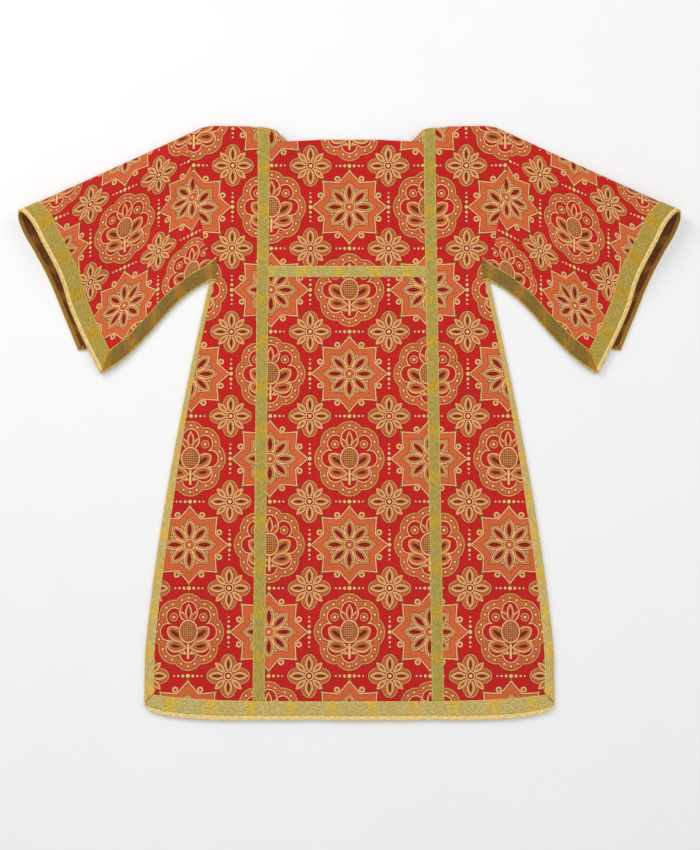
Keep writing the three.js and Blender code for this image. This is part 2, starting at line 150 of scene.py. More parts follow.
CLOTH = 1.6  # brocade with its stiffening
TAPE = 0.9
GAP = 0.3  # between two pieces that are sewn together
LENGTH = 1120
SHOULDER = 312  # half the width between the tops of the armhole seams
SHOULDER_DROP = 21.4  # how far down those tops lie
ARMPIT = (262, 300)  # x, down
HEM_EDGE = LENGTH - 1.5
HEM_HALF = 374.2
FLARE, FLARE_POWER = 720, 1.385
HEM_RISE, RISE_REACH, RISE_POWER = 17, 366, 8  # how the hem curves up towards its ends
BACK_HEIGHT = TAPE + GAP + CLOTH / 2  # middle of the cloth
FRONT_HEIGHT = BACK_HEIGHT + CLOTH + GAP
SHOULDER_FOLD = 7  # radius
SETTLE = 120  # how far from the fold the front has sunk on to the back
ARC = 0.1  # the part of a row's place that lies on the round of a fold
NECK_CORNER = 141
NECK_ZONE = 0.3  # the rows above this place close up under the neck edge
shoulder_y = solid_bounds[0][1] + LENGTH / 1000


def blend(a, b, share):
    return a + (b - a) * share


def ease(value, start, end):
    share = np.clip((value - start) / (end - start), 0, 1)
    return share * share * (3 - 2 * share)


def straight(*pairs):
    """Reads a table of (place, value) with straight lines between its rows."""
    places, values = zip(*pairs)
    return lambda place: np.interp(place, places, values)


def smooth(*pairs):
    """Reads a table of (place, value) with a smooth line through its rows."""
    places, values = (np.array(column, float) for column in zip(*pairs))
    slopes = np.gradient(values, places)

    def read(place):
        place = np.clip(place, places[0], places[-1])
        row = np.clip(np.searchsorted(places, place, side="right") - 1, 0, len(places) - 2)
        width = places[row + 1] - places[row]
        t = (place - places[row]) / width
        start, end = values[row], values[row + 1]
        bend = t * (1 - t) * ((1 - t) * slopes[row] - t * slopes[row + 1]) * width
        return blend(start, end, t * t * (3 - 2 * t)) + bend

    return read


crest_down = straight(
    (0, 11.5), (NECK_CORNER, 11.5), (152, 9), (190, 4.4),
    (262, 3.2), (284, 7.8), (291, 12.4), (SHOULDER, SHOULDER_DROP),
)
neck_down = {
    1: straight((60, 29.3), (118.6, 34.6), (131.5, 23.4), (136.5, 16.5), (NECK_CORNER, 11.5)),
    -1: straight((60, 31.5), (118.6, 36.6), (131.5, 25.4), (136.5, 18.5), (NECK_CORNER, 13)),
}

# Long soft waves of the laid front: middle, run (x, down), half width, height
WAVES = (
    ((-196, 250), (70, 190), 34, 2.0),
    ((188, 262), (-52, 200), 30, 1.7),
    ((-40, 640), (22, 250), 46, 1.3),
    ((118, 760), (30, 210), 40, 1.5),
    ((-214, 800), (-36, 200), 42, 1.6),
    ((250, 930), (34, 130), 34, 1.4),
    ((-118, 1010), (-8, 110), 38, 1.3),
    ((36, 1000), (6, 130), 44, 1.2),
    ((-300, 1010), (-22, 90), 26, 1.2),
    ((0, 150), (120, 6), 30, 1.1),
)


def lift(x, down):
    """How far the front stands off the back in its soft waves."""
    height = np.zeros(np.broadcast(x, down).shape)
    for (wave_x, wave_down), run, spread, high in WAVES:
        run_length = math.hypot(*run)
        along = ((x - wave_x) * run[0] + (down - wave_down) * run[1]) / run_length
        across = ((x - wave_x) * run[1] - (down - wave_down) * run[0]) / run_length
        height = height + high * np.exp(-((across / spread) ** 2) - (along / run_length) ** 4)
    edge = half_width(down) - np.abs(x)
    return height * ease(edge, 14, 70) * ease(down, 30, 120)


def half_width(depth):
    """Half the body's width: it narrows to the armpit, flares below it and is rounded off at the hem."""
    left = np.maximum(1 - (depth - ARMPIT[1]) / FLARE, 0)
    corner = np.maximum(1 - (HEM_EDGE - depth) / 16, 0)
    below = blend(HEM_HALF, ARMPIT[0], np.minimum(left, 1) ** FLARE_POWER) - 9 * corner**2.5
    return np.where(depth <= ARMPIT[1], blend(SHOULDER, ARMPIT[0], depth / ARMPIT[1]), below)


def over_fold(layer, place, radius, depth, rest, settle, soft=1.0):
    """Distance out from the crest of a fold, and height, of the cloth at a place."""
    turn = np.clip(place / ARC, 0, 1) * math.pi / 2
    flat = radius + (depth - radius) * (place - ARC) / (1 - ARC)
    fade = (1 + np.cos(math.pi * np.clip((flat - radius) / settle, 0, 1))) / 2
    sunk = np.where(layer < 0, BACK_HEIGHT, rest + (BACK_HEIGHT + 2 * radius - rest) * fade * soft)
    on_arc = place < ARC
    out = np.where(on_arc, radius * (1 - np.cos(turn)), flat)
    return out, np.where(on_arc, BACK_HEIGHT + radius + layer * radius * np.sin(turn), sunk)


def drawn_in(distance):
    """How far the stitches of an armhole seam draw the cloth in, beside the seam."""
    return 1.0 * np.exp(-((distance / 4) ** 2))


def body_point(layer, share, place):
    """A point of the front (layer 1) or back (-1), at a share of the half width and a place from the
    crest (0) to the armpit's level (1) and the hem (2)."""
    fold = (layer, np.minimum(place, 1), SHOULDER_FOLD, ARMPIT[1], FRONT_HEIGHT, SETTLE)
    out, height = over_fold(*fold)
    depth = np.where(place > 1, blend(ARMPIT[1], HEM_EDGE, place - 1), out)
    x = share * half_width(depth)
    soft = blend(0.35, 1, ease(np.abs(x), 60, 128))  # the front sinks sooner below the neck
    height = np.where(place > ARC, over_fold(*fold, soft)[1], height)
    crest = crest_down(np.abs(share) * SHOULDER)
    rise = HEM_RISE * (np.abs(x) / RISE_REACH) ** RISE_POWER * ease(depth, 900, HEM_EDGE)
    down = np.where(place > 1, depth - rise, crest + out * (1 - crest / ARMPIT[1]))
    if layer > 0:
        from_seam = (1 - np.abs(share)) * half_width(depth)
        seam = ease(place, 0.1, 0.2) * (1 - ease(place, 0.92, 1))
        height = height + lift(x, down) - drawn_in(from_seam) * seam
    return np.stack([x, down, height], -1)


def panel_point(layer, share, row):
    """The same with rows that close up under the neck edge. The back's columns run the other way, so
    that both cloths face outwards."""
    x = np.abs(share) * SHOULDER
    crest = crest_down(x)
    out = np.where(x < NECK_CORNER, (neck_down[layer](x) - crest) / (1 - crest / ARMPIT[1]), 0)
    on_arc = ARC * np.arccos(np.clip(1 - out / SHOULDER_FOLD, -1, 1)) / (math.pi / 2)
    past = ARC + (1 - ARC) * (out - SHOULDER_FOLD) / (ARMPIT[1] - SHOULDER_FOLD)
    first = np.where(out >= SHOULDER_FOLD, past, np.maximum(on_arc, ARC * GAP / math.pi / SHOULDER_FOLD))
    place = np.where(row < NECK_ZONE, blend(first, NECK_ZONE, row / NECK_ZONE), row)
    return body_point(layer, layer * share, place)


def front_grain(share, row, points):
    """Where a point lies in the width and length of the cloth it was cut from."""
    return np.stack([points[..., 0], -points[..., 1]], -1) / 1000


def steps(*stops):
    """A rising list of places from (end, number of steps) pairs, the first of which is the start."""
    places = [stops[0]]
    for end, count in stops[1:]:
        places += list(np.linspace(places[-1], end, count + 1)[1:])
    return np.array(places)


def lay_sheet(name, surface, columns, rows, thickness, cloth_place, edge=0.35):
    """Adds a grid, lays it on a surface(column, row) in millimetres, and gives it its wall."""
    bpy.ops.object.select_all(action="DESELECT")
    across, along = len(columns) - 1, len(rows) - 1
    bpy.ops.mesh.primitive_grid_add(x_subdivisions=across, y_subdivisions=along, size=1)
    piece = bpy.context.object
    piece.name = piece.data.name = name
    count = len(piece.data.vertices)
    places = np.empty(count * 3)
    piece.data.vertices.foreach_get("co", places)
    places = places.reshape(-1, 3) + 0.5
    column = columns[np.rint(places[:, 0] * across).astype(int)]
    row = rows[np.rint(places[:, 1] * along).astype(int)]
    points = surface(column, row)
    metres = np.stack([points[:, 0], shoulder_y * 1000 - points[:, 1], points[:, 2]], -1) / 1000
    piece.data.vertices.foreach_set("co", metres.ravel())
    corners = np.empty(len(piece.data.loops), int)
    piece.data.loops.foreach_get("vertex_index", corners)
    piece.data.uv_layers[0].data.foreach_set("uv", cloth_place(column, row, points)[corners].ravel())
    piece.data.update()
    bpy.ops.object.mode_set(mode="EDIT")
    bpy.ops.mesh.select_all(action="SELECT")
    bpy.ops.mesh.flip_normals()
    bpy.ops.object.mode_set(mode="OBJECT")
    bpy.ops.object.modifier_add(type="SOLIDIFY")
    wall = piece.modifiers[-1]
    wall.thickness, wall.offset, wall.use_even_offset = thickness / 1000, 0.0, True
    bpy.ops.object.modifier_apply(modifier=wall.name)
    bpy.ops.object.modifier_add(type="BEVEL")
    turned = piece.modifiers[-1]
    turned.width, turned.segments, turned.limit_method = edge / 1000, 2, "ANGLE"
    turned.angle_limit = math.radians(60)
    bpy.ops.object.modifier_apply(modifier=turned.name)
    bpy.ops.object.shade_smooth_by_angle(angle=math.radians(70))
    return piece


# The brocade's figures, drawn in thread. A figure's size and place are millimetres in its own repeat.
GROUND, GOLD, CREAM, ORANGE, BROWN, CRIMSON = range(6)
THREADS = ("c01410", "d08a4c", "efb87a", "d05f32", "66280f", "8a1010")
RAISED = (0.0, 0.8, 1.0, 0.6, 0.25, 0.35)  # how far each thread stands up and glints


def brocaded(cloth, edge, *bands):
    """Weaves bands of thread into the cloth from a figure's edge inwards: (how far out, thread)."""
    for reach, thread in bands:
        cloth = node("Mix", node("LESS_THAN", edge, reach), A=cloth, B=float(thread))
    return cloth


def length(x, y):
    return node("SQRT", node("MULTIPLY_ADD", x, x, node("MULTIPLY", y, y)))


def laid_in(place, foot, size, turn):
    """A place measured along and across a figure, in its own (length, width), from its foot."""
    x, y = place
    ways = ((math.cos(turn), math.sin(turn)), (-math.sin(turn), math.cos(turn)))
    found = []
    for (way_x, way_y), full in zip(ways, size):
        start = -(foot[0] * way_x + foot[1] * way_y) / full
        found.append(node("MULTIPLY_ADD", x, way_x / full, node("MULTIPLY_ADD", y, way_y / full, start)))
    return found


def disc(place, middle, size, turn=0.0):
    """How far out from the edge of a disc or an oval a place is."""
    far = length(*laid_in(place, middle, size, math.radians(turn)))
    return node("MULTIPLY_ADD", far, float(min(size)), -float(min(size)))


def leaf(place, foot, size, turn=0.0, fullest=1.0):
    """How far out from the edge of a pointed leaf, (length, half width), that grows from its foot."""
    along, across = laid_in(place, foot, size, math.radians(turn))
    tip = node("POWER", node("SUBTRACT", 1.0, along, use_clamp=True), fullest)
    belly = node("MULTIPLY", node("MULTIPLY", along, tip), -4.0 * size[1])
    past_tip = node("MULTIPLY_ADD", along, float(size[0]), -float(size[0]))
    return node("MAXIMUM", node("MULTIPLY_ADD", node("ABSOLUTE", across), float(size[1]), belly), past_tip)


def folded(place, sectors):
    """The place turned into the first of so many mirrored sectors round the middle."""
    far = length(*place)
    turn = node("PINGPONG", node("ARCTAN2", place[1], place[0]), math.pi / sectors)
    return node("MULTIPLY", far, node("COSINE", turn)), node("MULTIPLY", far, node("SINE", turn))


# Silk and lamella brocade with a satin ground: the ground is smooth and glossy, the figures are bound
# in gold and orange threads that stand up a little and glint.
brocade = new_material("silk_brocade_satin_ground")
cloth_uv = node("UVMap", uv_map="UVMap")
fray = node("TexNoise", cloth_uv, Scale=420.0, Detail=1.0).node.outputs["Color"]
fray = node("VectorMath", fray, (0.5, 0.5, 0.5), operation="SUBTRACT")
fray = node("VectorMath", fray, (0.0012, 0.0012, 0.0), operation="MULTIPLY")
frayed = node("VectorMath", cloth_uv, fray, operation="ADD")
repeat = (148.0, 160.0)  # from a medallion to the star beside it, and to the star below it
frayed = node("VectorMath", frayed, (1000.0, 1000.0, 0.0), operation="MULTIPLY")
u, v, _ = node("SeparateXYZ", frayed).node.outputs
column = node("ROUND", node("DIVIDE", u, repeat[0]))
row = node("ROUND", node("DIVIDE", v, repeat[1]))
x = node("SUBTRACT", u, node("MULTIPLY", column, repeat[0]))
y = node("SUBTRACT", v, node("MULTIPLY", row, repeat[1]))
is_star = node("PINGPONG", node("ADD", column, row), 1.0)
side = node("ABSOLUTE", x)
half = (side, y)

# The lobed medallion: an orange band with beads between gold lines, and a pomegranate with its leaves
tall = (x, node("DIVIDE", y, 1.08))
eighth = folded(tall, 8)
lobe = (node("SUBTRACT", eighth[0], 37.0), eighth[1])
band_edge = node("MINIMUM", node("SUBTRACT", length(*lobe), 25.0), node("SUBTRACT", length(*tall), 46.0))
medallion = brocaded(
    float(GROUND), band_edge, (4.6, BROWN), (3.6, GOLD), (0.9, BROWN), (0.0, ORANGE),
    (-8.4, BROWN), (-9.3, CREAM), (-11.2, BROWN), (-12.0, GROUND),
)
beads = disc(folded(lobe, 10), (20.8, 0.0), (2.3, 2.3))
beads = node("MAXIMUM", beads, node("SUBTRACT", -8.0, band_edge))
medallion = brocaded(medallion, beads, (1.0, BROWN), (0.0, CREAM))
low_leaf = leaf(half, (1.0, -41.0), (26.0, 5.0), 26.0)
medallion = brocaded(medallion, low_leaf, (1.0, BROWN), (0.0, GOLD), (-2.2, CREAM), (-3.8, BROWN))
for foot, size, turn in (((2.0, -29.0), (38.0, 9.4), 8.0), ((3.0, -19.0), (44.0, 10.0), 37.0)):
    blade = leaf(half, foot, size, turn, 0.7)
    medallion = brocaded(
        medallion, blade, (1.0, BROWN), (0.0, CREAM), (-1.7, GOLD),
        (-5.2, BROWN), (-6.0, ORANGE), (-8.8, BROWN),
    )
bud = disc(half, (27.0, 27.0), (8.0, 8.0))
medallion = brocaded(medallion, bud, (1.0, BROWN), (0.0, GOLD), (-2.6, BROWN), (-3.4, GROUND), (-5.2, CREAM))
medallion = brocaded(medallion, leaf(half, (13.0, 20.0), (20.0, 2.8), 128.0), (0.9, BROWN), (0.0, GOLD))
past_stem = node("SUBTRACT", node("ABSOLUTE", node("ADD", y, 30.0)), 19.0)
stem = node("MAXIMUM", node("SUBTRACT", side, 2.0), past_stem)
medallion = brocaded(medallion, stem, (0.7, BROWN), (0.0, CREAM))
for foot, size, turn in (((3.0, 17.0), (27.0, 5.2), 58.0), ((0.0, 18.0), (34.0, 6.4), 90.0)):
    sepal = leaf(half, foot, size, turn)
    medallion = brocaded(medallion, sepal, (1.0, BROWN), (0.0, CREAM), (-1.8, ORANGE), (-4.2, CRIMSON))
fruit = disc(half, (0.0, 1.0), (17.5, 21.5))
seeds = node("MULTIPLY", node("SINE", node("MULTIPLY", side, 0.9)), node("SINE", node("MULTIPLY", y, 0.75)))
seeds = node("MAXIMUM", node("SUBTRACT", 0.3, node("ABSOLUTE", seeds)), node("ADD", fruit, 5.2))
medallion = brocaded(
    medallion, fruit, (1.1, BROWN), (0.0, CREAM), (-2.2, BROWN), (-3.1, ORANGE), (-4.9, BROWN)
)
medallion = brocaded(medallion, seeds, (0.0, GOLD))

# The eight-pointed star: an orange field in a cream outline, with an eight-petalled rose
ray = folded((x, y), 8)
star_edge = node("MULTIPLY_ADD", ray[0], 0.656, node("MULTIPLY_ADD", ray[1], 0.755, -44.0))
spike = leaf(ray, (50.0, 0.0), (25.0, 6.0))
star = brocaded(float(GROUND), spike, (1.0, BROWN), (0.0, GOLD), (-2.6, CREAM))
pearl = disc(ray, (55.0, 22.8), (5.6, 5.6))
star = brocaded(star, pearl, (1.0, BROWN), (0.0, CREAM), (-2.0, GOLD), (-3.9, CRIMSON))
star = brocaded(
    star, star_edge, (4.4, BROWN), (3.4, CREAM), (1.2, BROWN), (0.3, ORANGE),
    (-9.6, BROWN), (-10.5, GOLD), (-13.0, BROWN), (-13.9, ORANGE),
)
sepal = leaf(ray, (5.0, 2.0), (34.0, 6.0), 22.5)
star = brocaded(star, sepal, (1.0, BROWN), (0.0, CREAM), (-1.7, BROWN), (-2.5, GOLD))
petal = leaf(ray, (6.0, 0.0), (39.0, 8.6), 0.0, 0.8)
star = brocaded(star, petal, (1.0, BROWN), (0.0, CREAM), (-2.2, BROWN), (-3.1, GOLD), (-5.8, CRIMSON))
eye = disc((x, y), (0.0, 0.0), (11.0, 11.0))
star = brocaded(
    star, eye, (1.0, BROWN), (0.0, CREAM), (-2.2, BROWN), (-3.1, ORANGE), (-7.0, BROWN), (-7.9, CREAM)
)

# Between them: a cross of leaves where four figures meet, with berries in the narrow places
figure = node("Mix", is_star, A=medallion, B=star)
corner = (node("SUBTRACT", repeat[0] / 2, side), node("SUBTRACT", repeat[1] / 2, node("ABSOLUTE", y)))
quarter = folded(corner, 4)
lobes = disc(quarter, (20.0, 0.0), (17.0, 13.0))
figure = brocaded(figure, lobes, (3.2, BROWN), (2.3, GOLD), (0.0, BROWN), (-0.9, ORANGE))
for foot, size, turn in (((6.0, 6.0), (26.0, 5.6), 45.0), ((5.0, 0.0), (32.0, 7.2), 0.0)):
    blade = leaf(quarter, foot, size, turn)
    figure = brocaded(figure, blade, (1.0, BROWN), (0.0, CREAM), (-1.8, GOLD), (-4.6, BROWN))
eye = disc(corner, (0.0, 0.0), (8.4, 8.4))
figure = brocaded(figure, eye, (1.0, BROWN), (0.0, CREAM), (-2.0, CRIMSON), (-5.0, CREAM))
BERRIES = (3.6, 2.8, 2.2, 1.8)  # radii, from the outermost inwards
berries = [((0.0, down), size) for down, size in zip((80.0, 70.0, 61.0, 53.0), BERRIES)]
berries += [((across, 0.0), size) for across, size in zip((74.0, 65.0, 56.5, 49.0), BERRIES)]
for middle, size in berries:
    figure = brocaded(figure, disc(corner, middle, (size, size)), (0.9, BROWN), (0.0, CREAM))

thread_stop = node("DIVIDE", node("ADD", figure, 0.5), 6.0)


def per_thread(colours):
    """One of six colours, by the thread that shows."""
    ramp = node("ValToRGB", thread_stop).node
    ramp.color_ramp.interpolation = "CONSTANT"
    stops = ramp.color_ramp.elements
    stops[0].position = 0.0
    stops[1].position = 1 / 6
    for place in range(2, 6):
        stops.new(place / 6)
    for stop, colour in zip(stops, colours):
        stop.color = colour
    return ramp.outputs["Color"]


thread_colour = per_thread([linear(thread) for thread in THREADS])
thread_height = per_thread([(height, height, height, 1) for height in RAISED])

# Colour varies by batches of thread, and the weave shows as a fine slanting rib, drawn as coarse as
# it needs to show
cloudy = node("TexNoise", cloth_uv, Scale=9.0, Detail=3.0)
speckle = node("TexNoise", node("Mapping", cloth_uv, Scale=(1.0, 0.35, 1.0)), Scale=700.0, Detail=2.0)
batch = node("MULTIPLY", node("SUBTRACT", cloudy, 0.5), 0.22)
tone = node("ADD", batch, node("MULTIPLY", node("SUBTRACT", speckle, 0.5), 0.75))
shade = node("HueSaturation", Color=thread_colour, Value=node("ADD", tone, 1.0))
rib = node("SINE", node("MULTIPLY", node("ADD", node("MULTIPLY", u, 0.35), v), 2 * math.pi / 0.9))
weave = node("ADD", node("MULTIPLY", rib, 0.03), node("MULTIPLY", speckle, 0.16))
relief = node("ADD", node("MULTIPLY", thread_height, 0.28), weave)
bump = node("Bump", Height=relief, Distance=0.001, Strength=0.8)
glint = node("MULTIPLY", thread_height, 0.22)
silk = node(
    "BsdfPrincipled", Base_Color=shade, Normal=bump, Metallic=glint, Roughness=0.5,
    Specular_IOR_Level=0.15, Sheen_Weight=0.03, Sheen_Roughness=0.5,
)
node("OutputMaterial", Surface=silk)

front_columns = steps(0, (118, 24), (156, 18), (284, 24), (SHOULDER, 10)) / SHOULDER
front_columns = np.concatenate([-front_columns[:0:-1], front_columns])
SEAM_JOIN = GAP / 2 / ARMPIT[0]
front_columns *= 1 - SEAM_JOIN
front_rows = steps(0, (0.1, 8), (0.3, 16), (1, 44), (1.9, 90), (1.98, 12), (2, 6))
front = lay_sheet(
    "front", lambda share, row: panel_point(1, share, row), front_columns, front_rows, CLOTH, front_grain
)
front.data.materials.append(brocade)
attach(front, "root")
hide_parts("front_panel")


# ---- The back
# The same cut as the front with its own neck edge. It lies flat on the table on its tapes, and meets
# the front along the crest of the shoulder fold.


def back_grain(share, row, points):
    """The back is cut half a repeat further on."""
    return front_grain(share, row, points) + (0.074, 0.08)


back = lay_sheet(
    "back", lambda share, row: panel_point(-1, share, row), front_columns, front_rows, CLOTH, back_grain
)
back.data.materials.append(brocade)
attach(back, "root")
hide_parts("back_panel")


# ---- The sleeves
# One piece of brocade each, short and wide, folded along the top and sewn to the body in a slanting
# seam. The underarm edges are left open, and the mouth stands open at the top fold.

FOLD_START = np.array([SHOULDER, SHOULDER_DROP])
CUFF_TIP = np.array([633.6, 177.0])  # where the top fold ends at the cuff
CUFF_FOLD = 17  # radius of the fold there
UNDERARM_LENGTH = 272  # from the armpit to the cuff
DRAWN_BACK = 0.88  # from this share of the length on, the cuff's slant shows in full
fold_run = CUFF_TIP - FOLD_START
FOLD_LENGTH = math.hypot(*fold_run)
sleeve_axis = fold_run / FOLD_LENGTH
cuff_way = np.array([-sleeve_axis[1], sleeve_axis[0]])
seam_run = np.array(ARMPIT) - FOLD_START
seam_way = seam_run / np.hypot(*seam_run)

# Depth from the top fold to the underarm edge, front (1) and back (-1), along the sleeve
sleeve_depth = {
    1: smooth(
        (0, 283), (0.15, 284.4), (0.35, 297.4), (0.5, 313.7),
        (0.65, 327.6), (0.85, 341.4), (0.95, 344.8), (1, 345.3),
    ),
    -1: smooth(
        (0, 283), (0.15, 283), (0.35, 284), (0.5, 287.8),
        (0.65, 291.6), (0.85, 293.5), (0.95, 290.5), (1, 286.5),
    ),
}

# How far the mouth's edge lies back from a square cut, from the back edge round to the front edge
cuff_setback = smooth(
    (-1, 0), (-0.75, 3.6), (-0.5, 6.8), (-0.3, 4.2), (-0.17, 1), (-0.068, 3.3), (0, 10.5),
    (0.074, 18.6), (0.14, 25), (0.26, 26.8), (0.49, 27.2), (0.61, 20), (0.73, 17.6), (1, 19.3),
)


def fold_radius(along):
    return blend(SHOULDER_FOLD, CUFF_FOLD, np.maximum(along, 0) ** 1.5)


def sleeve_lie(along, place):
    """A sleeve's cloth at a share of its length and a place from its back edge (-1) over the fold (0)
    to its front edge (1): the share of the length it lies at, and how far out from the fold and how high."""
    layer = np.where(place < 0, -1, 1)
    from_fold = np.abs(place)
    reach = blend(FOLD_LENGTH, UNDERARM_LENGTH, np.maximum((from_fold - ARC) / (1 - ARC), 0))
    t = 1 - (1 - along) * (1 + (FOLD_LENGTH / reach - 1) * np.maximum(along, 0) ** 3)
    depth = np.where(layer > 0, sleeve_depth[1](t), sleeve_depth[-1](t))
    rest = FRONT_HEIGHT + 3.4 * ease(t, 0.55, 1)
    out, height = over_fold(layer, from_fold, fold_radius(t), depth, rest, blend(SETTLE, 250, t))
    wave = 1.8 * np.exp(-(((place - 0.62 + 0.25 * t) / 0.1) ** 2))
    wave = wave + 1.3 * np.exp(-(((place - 0.36 - 0.1 * t) / 0.08) ** 2))
    wave = wave * ease(place, 0.2, 0.35) * (1 - ease(place, 0.82, 0.9))
    wave = wave * ease(t, 0.02, 0.3) * (1 - ease(t, 0.7, 0.88))
    sewn = drawn_in(along * FOLD_LENGTH) * ease(place, 0.1, 0.2) * (1 - ease(place, 0.92, 1))
    return t, out, height + wave - sewn


def sleeve_point(along, place):
    t, out, height = sleeve_lie(along, place)
    way = blend(seam_way, cuff_way, np.asarray(t)[..., None])
    way = way / np.linalg.norm(way, axis=-1, keepdims=True)
    back = cuff_setback(place) * np.clip(t / DRAWN_BACK, 0, 1) ** 1.5
    plan = FOLD_START + fold_run * np.asarray(t)[..., None] + way * np.asarray(out)[..., None]
    plan = plan - sleeve_axis * np.asarray(back)[..., None]
    return np.concatenate([plan, np.asarray(height)[..., None]], -1)


def sleeve_grain(along, place, points):
    """The sleeve is cut with its repeat a little closer, and its rows run with the top fold."""
    t, out, _ = sleeve_lie(along, place)
    radius = fold_radius(t)
    from_fold = np.abs(place)
    past_fold = out + radius * (math.pi / 2 - 1)
    on_cloth = np.where(from_fold < ARC, radius * from_fold / ARC * math.pi / 2, past_fold)
    from_middle = SHOULDER + (np.abs(points[:, 0]) - SHOULDER) * 1.17
    return np.stack([from_middle, -np.sign(place) * on_cloth * 1.2 - 14], -1) / 1000


def other_side(surface):
    return lambda column, row: surface(column, row) * (-1, 1, 1)


SIDES = (("left", lambda surface: surface), ("right", other_side))
sleeve_columns = steps(SEAM_JOIN, (0.035, 7), (0.9, 54), (1, 12))
sleeve_rows = steps(-1, (-0.9, 8), (-0.1, 40), (0.1, 28), (0.9, 76), (1, 8))
sleeve_pieces = {"left": [], "right": []}
for side_name, turned in SIDES:
    name = f"sleeve_{side_name}_cloth"
    sleeve = lay_sheet(name, turned(sleeve_point), sleeve_columns, sleeve_rows, CLOTH, sleeve_grain)
    sleeve.data.materials.append(brocade)
    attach(sleeve, "root")
    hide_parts(f"sleeve_{side_name}")


# ---- The clavi and the chest bar
# Narrow woven tape of olive and yellow thread, sewn down along both edges: two upright bands over the
# shoulders on front and back, and a bar across the chest between the two on the front.


NEARBY = 4e-4  # step along a surface's columns or rows to a point that gives its slope


def over(surface, column, row, height):
    """A point so far over a surface, along its normal."""
    along = surface(column, row + NEARBY) - surface(column, row - NEARBY)
    across = surface(column + NEARBY, row) - surface(column - NEARBY, row)
    normal = np.cross(across, along)
    normal = normal / np.linalg.norm(normal, axis=-1, keepdims=True)
    return surface(column, row) + normal * np.asarray(height)[..., None]


FACING_SHADE = ("68300b", "8c5518")  # the tape that faces the inside of a cuff and its patches, coloured brown as painted shade
